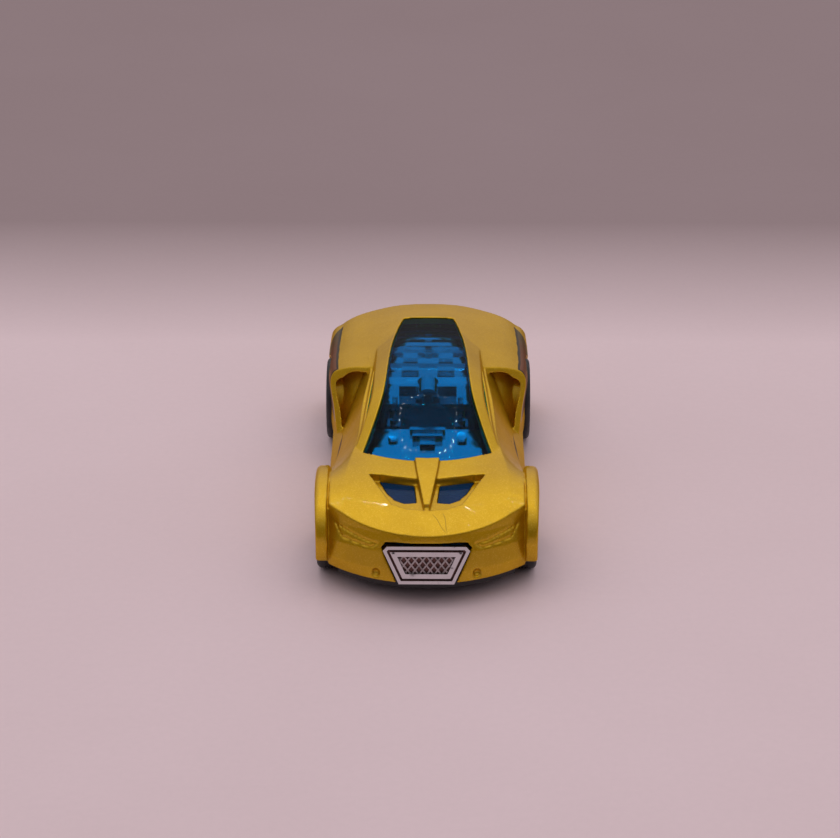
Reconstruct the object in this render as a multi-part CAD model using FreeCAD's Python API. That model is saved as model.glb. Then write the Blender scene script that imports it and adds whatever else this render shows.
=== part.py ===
import FreeCAD, Part

import math
import os

from FreeCAD import Vector

# A pull-back toy car. Millimetres. The nose points along -Y, the driver's left is +X and +Z is up.
# The origin is on the ground under the middle of the car's length and width.

# ---------------------------------------------------------------- driving dimensions
SILL_Z = 3.0  # lower edge of the painted body
BASE_Z = 2.0  # underside of the chassis
WALL = 1.2  # thickness of the body casting
GLASS_SINK = 0.2  # how far the glazing lies below the paint
GLASS_BACK = 1.85  # depth of the glazing's inner side below the paint
FIT = 0.08  # gap round parts that sit in an opening

FRONT_AXLE = (-22.3, 5.4)  # (y, z) of the axle centres
REAR_AXLE = (19.5, 6.3)
AXLE_R = 0.8
RUNNING_GAP = 0.05  # radial clearance of a turning shaft
FRONT_WHEEL = {"tyre_r": 5.4, "rim_r": 3.8, "inner_x": 12.0, "outer_x": 15.6, "arch_gap": 0.75}
REAR_WHEEL = {"tyre_r": 6.3, "rim_r": 4.4, "inner_x": 11.5, "outer_x": 15.8, "arch_gap": 0.45}
WELL_GAP = 0.35  # gap between a tyre and the wheel well behind the arch
WELL_WALL = 0.9  # what is left between a wheel well and the intake in front of it

GEAR_MODULE = 0.4
PRESSURE_ANGLE = 28.0
ADDENDUM = 0.9  # in modules
AXLE_TEETH, IDLER_BIG_TEETH, IDLER_SMALL_TEETH, DRUM_TEETH = 10, 20, 10, 22
MESH_GAP = 0.05  # added to each gear pair's centre distance
IDLER_RISE_DEG, DRUM_RISE_DEG = 10.0, 4.0
PIN_R = 0.6
CASE_HALF_X = 7.4
CASE_WALL = 0.8
SCREWS = [(0.0, -29.0), (0.0, 30.5)]

# Cross-sections of the lower body, one row per station along Y. x and z of each line that runs
# along the car: the sill, the widest line, the crease, the belt under the windows and the centre.
HULL = [
    # y, sill x, widest x z, crease x z, belt x z, centre z
    (-38, 13.6, 14.0, 5.5, 14.0, 9.0, 11.6, 9.1, 8.9),
    (-32, 13.8, 14.0, 5.5, 14.0, 10.3, 11.6, 10.4, 10.25),
    (-26, 13.9, 14.0, 5.5, 14.0, 11.9, 11.7, 12.1, 11.6),
    (-20, 14.0, 14.1, 5.4, 14.0, 12.6, 11.6, 13.0, 12.7),
    (-14, 14.1, 14.3, 5.3, 13.9, 10.9, 11.0, 13.0, 13.5),
    (-8, 14.2, 14.5, 5.2, 13.7, 8.6, 10.2, 13.2, 13.9),
    (-2, 14.2, 14.6, 5.1, 13.3, 7.6, 9.9, 13.8, 14.1),
    (4, 14.2, 14.6, 5.0, 12.95, 7.2, 9.35, 15.0, 14.5),
    (10, 14.2, 14.6, 5.0, 12.6, 7.0, 8.75, 16.3, 15.0),
    (16, 14.2, 14.6, 5.0, 12.2, 6.9, 8.4, 16.5, 15.0),
]
# Cross-sections of the cabin: the centre, the edge of the glass, the outer edge of the roof rail
# and the foot, which is buried in the lower body.
CABIN = [
    # y, centre z, glass x z, rail x z, foot x z
    (-18, 12.0, 10.6, 10.8, 12.0, 9.9, 12.3, 8.0),
    (-13, 14.9, 9.3, 13.2, 10.9, 12.2, 11.4, 10.5),
    (-8, 17.1, 7.7, 15.9, 9.4, 14.8, 10.5, 11.7),
    (-3, 18.7, 6.55, 17.9, 8.3, 16.9, 10.0, 12.4),
    (3, 19.42, 6.15, 18.75, 8.0, 17.7, 9.5, 13.3),
    (9, 19.4, 5.8, 18.75, 7.9, 17.5, 9.0, 14.4),
    (16, 18.85, 5.2, 18.35, 7.9, 16.9, 8.7, 14.6),
    (24, 17.6, 3.95, 17.3, 7.9, 15.9, 8.7, 14.0),
    (31, 16.4, 3.1, 16.2, 7.9, 14.8, 8.7, 13.0),
]
# Cross-sections of the rear quarters: heights across the deck, its outer edge, the widest line
# and the sill.
DECK_X = (0.0, 5.0, 9.0, 12.0)
REAR = [
    # y, z at each DECK_X, edge x z, widest x z, sill x
    (4, 18.7, 18.0, 15.6, 14.6, 13.0, 13.9, 13.4, 9.0, 13.2),
    (9, 19.1, 18.4, 16.1, 14.9, 13.4, 14.0, 14.0, 9.0, 13.8),
    (14, 19.0, 18.35, 16.45, 15.1, 13.85, 14.05, 15.1, 9.0, 14.7),
    (19, 18.6, 18.0, 16.5, 15.2, 13.95, 14.05, 15.5, 9.0, 15.0),
    (24, 18.0, 17.6, 16.4, 15.2, 13.95, 14.0, 15.55, 9.1, 15.0),
    (29, 17.3, 17.05, 16.1, 15.05, 13.85, 13.9, 15.5, 9.3, 14.9),
    (34, 16.55, 16.35, 15.65, 14.8, 13.6, 13.8, 15.3, 9.5, 14.7),
    (40, 15.6, 15.5, 15.0, 14.3, 13.2, 13.4, 14.9, 9.5, 14.4),
]
# Outline of the canopy opening seen from above, nose to tail, on the +X side.
CANOPY_EDGE = [
    (9.3, -13.0), (7.75, -8.2), (6.6, -3.2), (6.1, 2.5), (5.8, 9.0), (5.2, 16.5), (3.85, 24.7),
]
CANOPY_FRONT_Y, CANOPY_REAR_Y = -16.0, 25.0
# Outline of a side window seen from the side, (y, z).
SIDE_WINDOW = [
    (-8.6, 13.8), (-2.6, 16.25), (2.5, 17.0), (7.3, 16.95), (7.35, 16.6), (2.8, 15.35), (-2.0, 14.3),
]
# The rear quarter's forward face is a plane through these three points.
INTAKE_PLANE = [Vector(8.5, 9.1, 16.1), Vector(14.0, 13.5, 14.2), Vector(14.17, 9.5, 7.6)]
INTAKE_DEPTH, INTAKE_RIM, INTAKE_BACK = 2.0, 0.75, 3.0
# Hood: the sunk panel behind each vent and the vent hole in it, seen from above on the +X side,
# and the (y, z) line of the panel's floor.
VENT_PANEL = [(8.3, -19.3), (1.2, -20.4), (0.3, -27.4), (3.0, -27.0), (4.9, -26.2), (6.6, -22.9)]
VENT_HOLE = [(6.8, -19.4), (1.8, -20.5), (1.45, -25.0), (3.2, -25.2), (4.6, -24.2), (5.7, -22.4)]
VENT_FLOOR = [(-19.2, 11.75), (-27.3, 11.0)]
VENT_FLOOR_WALL = 1.0  # thickness of the casting under the sunk vent panels
VENT_PANE_SINK = 0.12  # how far a vent pane lies below its panel
SPINE = [(1.9, -14.7), (1.5, -19.0), (0.45, -26.9)]
SPINE_RISE = 0.55
# The band round a front wheel arch, seen from the side.
FLARE = [
    (-29.4, 4.3), (-29.8, 7.4), (-28.4, 10.5), (-24.6, 12.35), (-20.5, 12.85), (-16.5, 12.4), (-13.3, 11.0),
    (-12.3, 8.0),
]
FLARE_X = (13.9, 15.95)
# Grille outline seen from the front, +X side, (x, z); its face leans back by GRILLE_LEAN degrees.
GRILLE = [(5.5, 8.8), (6.05, 8.2), (3.85, 3.4)]
GRILLE_MOUTH = [(5.65, 9.1), (6.32, 8.35), (3.75, 2.4)]
NOSE_SILL = (-28.0, 3.35)  # the lower edge is raised to this z in front of this y
GRILLE_LEAN = 13.0
HEADLAMP = [(-13.1, 9.9), (-11.9, 8.1), (-7.6, 7.7), (-6.5, 8.6), (-8.2, 8.7)]


# ---------------------------------------------------------------- small helpers
def box(x0, x1, y0, y1, z0, z1):
    return Part.makeBox(x1 - x0, y1 - y0, z1 - z0, Vector(x0, y0, z0))


def rod(y, z, r, x0, x1):
    """A cylinder along X."""
    return Part.makeCylinder(r, x1 - x0, Vector(x0, y, z), Vector(1, 0, 0))


def post(x, y, r, z0, z1):
    """A cylinder along Z."""
    return Part.makeCylinder(r, z1 - z0, Vector(x, y, z0))


def ring(y, z, r_out, r_in, x0, x1):
    return rod(y, z, r_out, x0, x1).cut(rod(y, z, r_in, x0 - 1, x1 + 1))


def merged(shape):
    """The shape with its split faces joined up, where that works."""
    try:
        return shape.removeSplitter()
    except Part.OCCError:
        return shape


def fuse(*shapes):
    return merged(shapes[0].multiFuse(list(shapes[1:])) if len(shapes) > 1 else shapes[0])


def mirrored(shape):
    """The shape's twin on the other side of the car."""
    return shape.mirror(Vector(0, 0, 0), Vector(1, 0, 0))


def both(shape):
    return [shape, mirrored(shape)]


def spline(points):
    curve = Part.BSplineCurve()
    curve.interpolate(points)
    return curve.toShape()


def line(a, b):
    return Part.LineSegment(a, b).toShape()


def polygon(points):
    return Part.Face(Part.makePolygon(points + points[:1]))


def prism_z(outline, z0, z1):
    """An outline of (x, y) points, straight up from z0 to z1."""
    return polygon([Vector(x, y, z0) for x, y in outline]).extrude(Vector(0, 0, z1 - z0))


def prism_x(outline, x0, x1):
    """An outline of (y, z) points, along X."""
    return polygon([Vector(x0, y, z) for y, z in outline]).extrude(Vector(x1 - x0, 0, 0))


def prism_y(outline, y0, y1):
    """An outline of (x, z) points, along Y."""
    return polygon([Vector(x, y0, z) for x, z in outline]).extrude(Vector(0, y1 - y0, 0))


def half_space(point, normal, size=90.0):
    """A big block on the side of the plane that its normal points to."""
    block = Part.makeBox(size, size, size, Vector(-size / 2, -size / 2, 0))
    turn = FreeCAD.Rotation(Vector(0, 0, 1), normal)
    block.Placement = FreeCAD.Placement(point, turn).multiply(block.Placement)
    return block


def largest(shape):
    return max(shape.Solids, key=lambda s: s.Volume)


def save(name, shape):
    solids = shape.Solids
    if len(solids) == 1:
        shape = solids[0]
    else:
        shape = Part.makeCompound(solids)
    bad = [s for s in solids if not s.isValid() or s.Volume <= 0]
    print(f"{name}: {len(solids)} solid(s), {shape.Volume:.1f} mm3" + (" INVALID" if bad else ""))
    shape.exportStep(f"parts/{name}.step")


# ---------------------------------------------------------------- body surfaces
def mirror_points(points):
    return [Vector(-p.x, p.y, p.z) for p in points]


def section_wire(y, side, top, z_bottom):
    """A closed section at y. side lists half outlines from the sill upwards, top the half outline
    from the last side point to the centre; both are on the +X side."""
    right = [spline(part) for part in side]
    left = [spline(mirror_points(part)[::-1]) for part in side[::-1]]
    crown = spline(top + mirror_points(top)[-2::-1])
    first = side[0][0]
    low_r, low_l = Vector(first.x, y, z_bottom), Vector(-first.x, y, z_bottom)
    closing = line(mirror_points([first])[0], low_l)
    return Part.Wire([line(low_l, low_r), line(low_r, first)] + right + [crown] + left + [closing])


def hull(inset=0.0, z_bottom=SILL_Z):
    """The lower body, or its inside at a depth of inset."""
    wires = []
    for y, sx, wx, wz, cx, cz, bx, bz, mz in HULL:
        sill = Vector(sx - inset, y, SILL_Z + 0.01)
        wide = Vector(wx - inset, y, wz)
        crease = Vector(cx - inset, y, cz - inset * 0.3)
        belt = Vector(bx - inset, y, bz - inset)
        mid = Vector(bx * 0.5, y, (mz * 0.7 + bz * 0.3) - inset)
        side = [[sill, wide], [wide, crease], [crease, belt]]
        wires.append(section_wire(y, side, [belt, mid, Vector(0, y, mz - inset)], z_bottom))
    return Part.makeLoft(wires, True, False)


def cabin(inset=0.0):
    wires = []
    for y, mz, gx, gz, rx, rz, fx, fz in CABIN:
        foot = Vector(fx - inset, y, fz)
        rail = Vector(rx - inset, y, rz - inset)
        glass = Vector(gx - inset * 0.5, y, gz - inset)
        crown = mz - inset
        mid = Vector(gx * 0.5, y, gz - inset + (mz - gz) * 0.76)
        side = [[foot, rail], [rail, glass]]
        wires.append(section_wire(y, side, [glass, mid, Vector(0, y, crown)], 7.0))
    return Part.makeLoft(wires, True, False)


def rear_quarters(inset=0.0, z_bottom=SILL_Z):
    wires = []
    for y, z0, z1, z2, z3, ex, ez, wx, wz, sx in REAR:
        sill = Vector(sx - inset, y, SILL_Z + 0.01)
        wide = Vector(wx - inset, y, wz)
        edge = Vector(ex - inset, y, ez - inset)
        deck = [Vector(x, y, z - inset) for x, z in zip(DECK_X, (z0, z1, z2, z3))]
        knee = Vector(wx - inset - 0.25, y, ez - 1.05 - inset * 0.4)
        side = [[sill, Vector((sx + wx) / 2 - inset + 0.25, y, 6.0), wide, knee, edge]]
        wires.append(section_wire(y, side, [edge] + deck[::-1], z_bottom))
    return Part.makeLoft(wires, True, False)


def plan_wire(z, nose_y, nose_r, tail_y, tail_r, half):
    """The outline seen from above: an arc across the nose, straight sides and an arc across the tail."""
    def arc(tip_y, r, sign):
        x = min(half, r * 0.985)
        y = tip_y + sign * (r - math.sqrt(r * r - x * x))
        ends = [Vector(-x, y, z), Vector(x, y, z)]
        return Part.Arc(ends[0], Vector(0, tip_y, z), ends[1]).toShape(), ends
    nose, n = arc(nose_y, nose_r, 1)
    tail, t = arc(tail_y, tail_r, -1)
    return Part.Wire([nose, line(n[1], t[1]), tail, line(t[0], n[0])])


def plan_block(inset=0.0):
    """What the nose and tail faces keep: the fascia leans back as it rises and wraps round."""
    levels = [
        # z, y and radius at the nose, y at the tail
        (-1.0, -35.2, 20.0, 35.4), (3.0, -34.45, 19.3, 35.0), (5.0, -34.0, 22.0, 34.8),
        (7.5, -33.4, 21.5, 34.5), (10.0, -32.75, 19.3, 34.2), (24.0, -29.4, 17.0, 30.6),
    ]
    wires = [plan_wire(z, ny + inset, nr, ty - inset, 44.0, 18.0) for z, ny, nr, ty in levels]
    return Part.makeLoft(wires, True, True)


def intake_plane(depth):
    """The forward face of a rear quarter on the +X side, moved back by depth: (point, normal to the rear)."""
    a, b, c = INTAKE_PLANE
    normal = (b - a).cross(c - a).normalize()
    if normal.y < 0:
        normal = normal.negative()
    return b + normal * depth, normal


def both_halves(shape, cutter):
    """Keeps the shape inside the cutter on the +X side and inside the cutter's twin on the other."""
    right = cutter.common(box(0, 40, -60, 60, -10, 40))
    return shape.common(fuse(right, mirrored(right)))


def quarters_behind(inset, depth):
    """The rear quarters behind the intake faces."""
    return both_halves(rear_quarters(inset), half_space(*intake_plane(depth)))


SKINS = {}


def skin(inset, depth):
    """Everything inside the paint at a depth of inset, except the flares."""
    if (inset, depth) not in SKINS:
        whole = fuse(hull(inset), cabin(inset), quarters_behind(inset, depth))
        SKINS[inset, depth] = whole.common(plan_block(inset))
    return SKINS[inset, depth].copy()


def flare():
    """The band round a front wheel arch on the +X side, standing out from the fender."""
    pts = [Vector(FLARE_X[0], y, z) for y, z in FLARE]
    foot_front, foot_rear = Vector(FLARE_X[0], -27.8, 3.5), Vector(FLARE_X[0], -12.2, SILL_Z)
    edges = [line(foot_front, pts[0]), spline(pts), line(pts[-1], foot_rear), line(foot_rear, foot_front)]
    band = Part.Face(Part.Wire(edges)).extrude(Vector(FLARE_X[1] - FLARE_X[0], 0, 0))
    outside = [e for e in band.Edges if abs(e.CenterOfMass.x - FLARE_X[1]) < 1e-3]
    rim = [e for e in outside if e.CenterOfMass.z > SILL_Z + 0.5]
    band = band.makeFillet(0.8, rim)
    arc = Part.Arc(Vector(15.4, -31.5, 0), Vector(15.95, -20.5, 0), Vector(15.8, -11.0, 0)).toShape()
    back, front = Vector(0, -11, 0), Vector(0, -31.5, 0)
    ends = [line(Vector(15.8, -11.0, 0), back), line(back, front), line(front, Vector(15.4, -31.5, 0))]
    keep = Part.Wire([arc] + ends)
    return band.common(Part.Face(keep).extrude(Vector(0, 0, 20)))


# ---------------------------------------------------------------- body shell
def sunk_plane(points, shift=0.0):
    """The block above the vent panel's floor, moved up by shift."""
    (y0, z0), (y1, z1) = points
    slope = (z1 - z0) / (y1 - y0)
    return half_space(Vector(0, y0, z0 + shift), Vector(0, -slope, 1))


def grow(outline, amount):
    """The outline moved out by amount (in when negative)."""
    face = polygon([Vector(x, y, 0) for x, y in outline])
    wire = face.makeOffset2D(amount, 2)
    return [(v.X, v.Y) for v in Part.Wire(wire.Wires[0]).OrderedVertexes]


def vents(outline, z0=8.0, z1=18.0, amount=0.0):
    shape = prism_z(grow(outline, amount) if amount else outline, z0, z1)
    return fuse(*both(shape))


def canopy_prism(amount, z0=8.0, z1=22.0):
    """The canopy opening, grown by amount, as a block along Z."""
    side = [Vector(x + amount, y, z0) for x, y in CANOPY_EDGE]
    side[0].y -= amount * 0.3
    side[-1].y += amount
    nose = Vector(0, CANOPY_FRONT_Y - amount, z0)
    front = Part.Arc(Vector(-side[0].x, side[0].y, z0), nose, side[0]).toShape()
    left = mirror_points(side)
    wire = Part.Wire([front, spline(side), line(side[-1], left[-1]), spline(left[::-1])])
    return Part.Face(wire).extrude(Vector(0, 0, z1 - z0))


def side_window_prism(amount):
    """A side window opening on the +X side, grown by amount, as a block along X."""
    flat = [(y, z) for y, z in SIDE_WINDOW]
    if amount:
        flat = grow(flat, amount)
    return prism_x(flat, 5.0, 14.0)


def grille_prism(amount, y0, y1, half=GRILLE):
    whole = half + [(-x, z) for x, z in half[::-1]]
    outline = grow(whole, amount) if amount else whole
    block = prism_y(outline, y0, y1)
    block.rotate(Vector(0, -34.2, 3.0), Vector(1, 0, 0), -GRILLE_LEAN)
    return block


def arch(axle, wheel, lip_x):
    """The room for a wheel on the +X side: a wheel well, and a wider opening outside lip_x."""
    y, z = axle
    inner = wheel["inner_x"] - 0.7
    room = []
    for gap, x0 in ((WELL_GAP, inner), (wheel["arch_gap"], lip_x)):
        r = wheel["tyre_r"] + gap
        room += [rod(y, z, r, x0, 20), box(x0, 20, y - r, y + r, -2, z)]
    return fuse(*room)


def intake_pocket():
    """The hollow in a rear quarter's forward face on the +X side."""
    room = rear_quarters(INTAKE_RIM).common(half_space(*intake_plane(-1.0)))
    room = room.cut(half_space(*intake_plane(INTAKE_DEPTH)))
    room = room.common(box(0, 20, 0, 30, 5.5, 30))
    room = room.cut(rod(*REAR_AXLE, REAR_WHEEL["tyre_r"] + WELL_GAP + WELL_WALL, 0, 20))
    return room.cut(hull()).cut(cabin())


def flare_groove():
    """The line between the fender and its flare on the +X side."""
    (x0, _), low = FLARE_X, 0.3
    outer = [(y, z + 2.0) for y, z in FLARE]
    inner = [(y, z - low) for y, z in FLARE]
    band = [(outer[0][0] - 3.0, inner[0][1])] + [(y - 1.5, z) for y, z in outer[:2]] + outer[2:] + inner[::-1]
    return prism_x(band, x0 - 0.12, x0 + 0.16)


def fascia_details():
    """Headlamp outlines and fog lamps, cut into the nose."""
    lamp = prism_y(HEADLAMP, -40, -20)
    rim = lamp.cut(prism_y(grow(HEADLAMP, -0.28), -41, -19))
    shallow = plan_block(0.0).cut(plan_block(0.22))
    fog = Part.makeSphere(0.62, Vector(7.1, -32.95, 4.4))
    return fuse(rim, mirrored(rim)).common(shallow), fuse(*both(fog))


def tail_details():
    """A sunk panel across the tail with two lamps standing in it."""
    panel = box(-11.5, 11.5, 30, 40, 8.4, 12.6)
    lamps = [rod_y(x, 10.5, 1.35, 30, 40) for x in (-9.2, -5.6, 5.6, 9.2)]
    sunk = panel.cut(fuse(*lamps)).cut(plan_block(0.7))
    return sunk


def rod_y(x, z, r, y0, y1):
    """A cylinder along Y."""
    return Part.makeCylinder(r, y1 - y0, Vector(x, y0, z), Vector(0, 1, 0))


def body_cavity():
    """The hollow inside the casting."""
    hollow = skin(WALL, INTAKE_BACK + 0.2)
    hollow = hollow.common(box(-30, 30, -60, 60, -5, 30)).fuse(skin_foot()).removeSplitter()
    panel = vents(VENT_PANEL, amount=0.9).common(sunk_plane(VENT_FLOOR, -1.0))
    return hollow.cut(panel)


def skin_foot():
    """Opens the hollow downwards through the sill."""
    low = skin(WALL, INTAKE_BACK + 0.2).common(box(-30, 30, -60, 60, SILL_Z, SILL_Z + 0.6))
    flat = [f for f in low.Faces if abs(f.normalAt(0, 0).z + 1) < 1e-3]
    face = [f for f in flat if abs(f.CenterOfMass.z - SILL_Z) < 0.05]
    return fuse(*[f.extrude(Vector(0, 0, -3)) for f in face])


def body_shell():
    outer = fuse(skin(0.0, 0.0), *both(flare()))
    spine = hull(-SPINE_RISE).common(prism_z(SPINE + [(-x, y) for x, y in SPINE[::-1]], 9, 16))
    outer = outer.cut(vents(VENT_PANEL).common(sunk_plane(VENT_FLOOR)))
    outer = fuse(outer, spine)
    outer = outer.cut(body_cavity())
    tools = [canopy_prism(0.0), grille_prism(0.0, -37, -28, GRILLE_MOUTH), vents(VENT_HOLE)]
    tools += both(side_window_prism(0.0)) + both(intake_pocket()) + both(flare_groove())
    tools += both(arch(FRONT_AXLE, FRONT_WHEEL, 13.9)) + both(arch(REAR_AXLE, REAR_WHEEL, 13.9))
    tools += list(fascia_details()) + [tail_details()]
    tools.append(box(-20, 20, -40, NOSE_SILL[0], 0, NOSE_SILL[1]))
    for tool in tools:
        outer = outer.cut(tool)
    return largest(add_posts(outer))


def add_posts(shell):
    """Screw posts that hang from the casting down to the chassis."""
    inside = skin(WALL * 0.5, INTAKE_BACK)
    for x, y in SCREWS:
        shell = shell.fuse(post(x, y, 2.0, BASE_Z + 1.25, 20).common(inside))
    for x, y in SCREWS:
        shell = shell.cut(post(x, y, 0.82, 0, BASE_Z + 6.0))
    return merged(shell)


# ---------------------------------------------------------------- glazing, grille, interior
def window_insert():
    """One clear moulding: the canopy, both side windows and both vent panes on a common flange."""
    back = skin(GLASS_BACK, INTAKE_BACK + 0.3)
    panes = skin(GLASS_SINK, INTAKE_BACK + 0.3).cut(back)
    flange = skin(WALL + FIT, INTAKE_BACK + 0.3).cut(back)
    canopy = panes.common(canopy_prism(-FIT))
    sides = [panes.common(prism) for prism in both(side_window_prism(-FIT))]
    rims = [flange.common(canopy_prism(0.9))]
    rims += [flange.common(prism) for prism in both(side_window_prism(0.7))]
    keep = fuse(*both(box(4.0, 20, -40, 40, 0, 40)))
    sides = [part.common(keep) for part in sides]
    rims = [rims[0]] + [part.common(keep) for part in rims[1:]]
    plate_top = VENT_FLOOR_WALL + FIT
    below = sunk_plane(VENT_FLOOR, -plate_top)
    floor = sunk_plane(VENT_FLOOR, -plate_top - 0.8)
    plate = vents(VENT_HOLE, amount=0.7).common(floor).cut(below)
    vent_panes = vents(VENT_HOLE, amount=-FIT).common(floor).cut(sunk_plane(VENT_FLOOR, -VENT_PANE_SINK))
    strip = box(-5.5, 5.5, -20.0, -16.0, 9.4, 12.6).common(skin(WALL + FIT, 5.0))
    strip = strip.cut(vents(VENT_PANEL, amount=1.0).common(below))
    insert = fuse(canopy, plate, vent_panes, strip, *sides, *rims)
    return insert.cut(post(0, SCREWS[0][1], 2.3, 0, 20))


def front_grille():
    """Chrome grille: an outer rim, a groove, a bevelled inner frame and a sunk diamond mesh."""
    def part(amount, y0, y1):
        return grille_prism(amount, y0, y1)
    base = part(0.0, -34.0, -32.6)
    rim = part(0.0, -34.75, -33.5).cut(part(-0.45, -36, -33))
    frame = part(-0.8, -34.75, -33.5).cut(part(-1.45, -36, -33))
    grille = fuse(base, rim, frame)
    bars = []
    for i in range(-7, 8):
        for lean in (38.0, -38.0):
            bar = box(-0.11, 0.11, -34.3, -33.9, -8, 8)
            bar.rotate(Vector(0, 0, 0), Vector(0, 1, 0), lean)
            bar.translate(Vector(i * 1.05, 0, 6.0))
            bar.rotate(Vector(0, -34.2, 3.0), Vector(1, 0, 0), -GRILLE_LEAN)
            bars.append(bar)
    mesh = fuse(*bars).common(part(-1.4, -36, -30))
    grille = fuse(grille, mesh)
    tab = box(-2.6, 2.6, -33.4, -31.2, BASE_Z + 1.25, BASE_Z + 2.2)
    grille = fuse(grille, tab).cut(post(0, SCREWS[0][1], 2.3, 0, 20))
    return grille.common(box(-10, 10, -35.0, -25, 2.3, 12))


TUB_PROFILE = [
    (-14.2, 10.6), (-9.6, 12.2), (-6.2, 12.8), (-5.0, 12.9), (-4.7, 8.6), (-0.7, 8.3), (0.0, 14.6), (6.2, 15.0),
    (7.4, 15.6), (9.2, 15.6), (9.6, 15.0), (11.9, 15.0), (12.3, 15.6), (14.6, 15.6), (15.0, 15.0), (26.4, 14.4),
    (26.4, 13.6), (0.9, 13.6), (0.3, 7.4), (-5.6, 7.7), (-5.9, 11.9), (-9.6, 11.2), (-14.2, 9.7),
]


def interior_tub():
    """The moulded cockpit and engine cover seen through the canopy."""
    tub = prism_x(TUB_PROFILE, -8.8, 8.8)
    bits = [box(-0.5, 0.5, 15.5, 26.0, 14.2, 16.2)]
    for y in (16.6, 19.0, 21.4, 23.8):
        bits.append(box(-6, 6, y, y + 1.3, 14.2, 16.6))
    for x in (-2.7, 2.7):
        bits.append(box(x - 1.3, x + 1.3, 7.6, 9.0, 15, 16.6))
        bits.append(box(x - 1.1, x + 1.1, 12.6, 14.4, 15, 16.4))
        bits.append(box(x - 1.6, x + 1.6, 2.4, 3.3, 14.4, 16.4))
        bits.append(box(x * 1.8 - 0.4, x * 1.8 + 0.4, -0.6, 3.3, 14.0, 16.0))
    head = box(-1.8, 1.8, 0.2, 5.0, 14.2, 15.6).fuse(Part.makeCylinder(1.8, 4.8, Vector(0, 0.2, 15.2), Vector(0, 1, 0)))
    bits.append(head.cut(Part.makeCylinder(1.2, 4.0, Vector(0, -1, 15.0), Vector(0, 1, 0))))
    bits.append(box(-2.6, 2.6, -6.6, -5.6, 12, 13.6))
    bits.append(box(-2.2, 2.2, -8.2, -7.4, 12, 13.4))
    bits.append(box(-1.1, 1.1, -10.2, -8.8, 11.5, 13.0))
    for x in (-5.0, 5.0):
        bits.append(Part.makeCylinder(0.75, 1.4, Vector(x, -7.2, 12.0), Vector(0, -0.5, 1)))
        bits.append(Part.makeCylinder(0.6, 1.6, Vector(x, -2.1, 11.5)))
        bits.append(box(x - 1.0, x + 1.0, -2.8, 1.2, 8.0, 12.3))
    tub = fuse(tub, *bits)
    room = skin(GLASS_BACK + FIT, INTAKE_BACK + 0.4).common(canopy_prism(0.8, z0=5.0))
    return tub.common(room)


# ---------------------------------------------------------------- wheels
def wheel_parts(axle, wheel, spokes=5):
    """Rim and tyre of the wheel on the +X side."""
    y, z = axle
    r, tr, x0, x1 = wheel["rim_r"], wheel["tyre_r"], wheel["inner_x"], wheel["outer_x"]
    barrel = ring(y, z, r, r - 0.55, x0 + 0.2, x1 - 0.25)
    web = ring(y, z, r - 0.4, AXLE_R, x1 - 1.9, x1 - 0.9)
    hub = ring(y, z, 1.5, AXLE_R, x0 + 0.2, x1 - 0.45)
    for i in range(spokes):
        gap = window_in_web(r, x1)
        gap.rotate(Vector(0, 0, 0), Vector(1, 0, 0), 360.0 * i / spokes)
        gap.translate(Vector(0, y, z))
        web = web.cut(gap)
    ribs = []
    for i in range(spokes):
        rib = box(x1 - 1.0, x1 - 0.55, -0.28, 0.28, 1.2, r - 0.5)
        rib.rotate(Vector(0, 0, 0), Vector(1, 0, 0), 360.0 * (i + 0.5) / spokes)
        rib.translate(Vector(0, y, z))
        ribs.append(rib)
    rim = fuse(barrel, web, hub, *ribs)
    tyre = ring(y, z, tr, r + 0.01, x0, x1)
    shoulder = [e for e in tyre.Edges if abs(e.BoundBox.YLength / 2 - tr) < 0.05 and e.BoundBox.XLength < 0.01]
    tyre = tyre.makeFillet(0.7, shoulder)
    for x in (x0 + 1.35, (x0 + x1) / 2, x1 - 1.35):
        tyre = tyre.cut(ring(y, z, tr + 1, tr - 0.18, x - 0.14, x + 0.14))
    return rim, tyre


def window_in_web(r, x1):
    """One gap between two spokes, centred on +Z."""
    def at(radius, angle):
        return Vector(x1 - 3, radius * math.sin(math.radians(angle)), radius * math.cos(math.radians(angle)))
    low, high = 1.85, r - 0.85
    edges = [Part.Arc(at(low, -18), at(low, 0), at(low, 18)).toShape(), line(at(low, 18), at(high, 27)),
             Part.Arc(at(high, 27), at(high, 0), at(high, -27)).toShape(), line(at(high, -27), at(low, -18))]
    return Part.Face(Part.Wire(edges)).extrude(Vector(4, 0, 0))


def axle_rod(axle, wheel):
    y, z = axle
    end = wheel["outer_x"] - 0.35
    shaft = rod(y, z, AXLE_R, -end, end)
    rims = [e for e in shaft.Edges if e.BoundBox.XLength < 0.01]
    return shaft.makeChamfer(0.2, rims)


# ---------------------------------------------------------------- gears
def gear_outline(teeth, phase):
    """Involute outline as (y, z) points about its centre; a tooth points along the angle phase."""
    pitch_r = GEAR_MODULE * teeth / 2
    base_r = pitch_r * math.cos(math.radians(PRESSURE_ANGLE))
    tip_r, root_r = pitch_r + ADDENDUM * GEAR_MODULE, pitch_r - 1.2 * GEAR_MODULE
    def roll(radius):
        turn = math.sqrt(max(0.0, (radius / base_r) ** 2 - 1))
        return turn - math.atan(turn)
    half = math.pi / (2 * teeth) * 0.93
    flank = []
    for i in range(6):
        radius = max(base_r, root_r) + (tip_r - max(base_r, root_r)) * i / 5
        flank.append((radius, half + roll(pitch_r) - roll(radius)))
    flank = [(root_r, flank[0][1])] + flank if root_r < base_r else flank
    points = []
    for k in range(teeth):
        centre = phase + 2 * math.pi * k / teeth
        points += [(radius, centre - angle) for radius, angle in flank]
        points += [(radius, centre + angle) for radius, angle in flank[::-1]]
    return [(radius * math.cos(a), radius * math.sin(a)) for radius, a in points]


def gear(centre, teeth, phase, x0, x1):
    y, z = centre
    return prism_x([(y + a, z + b) for a, b in gear_outline(teeth, phase)], x0, x1)


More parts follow.
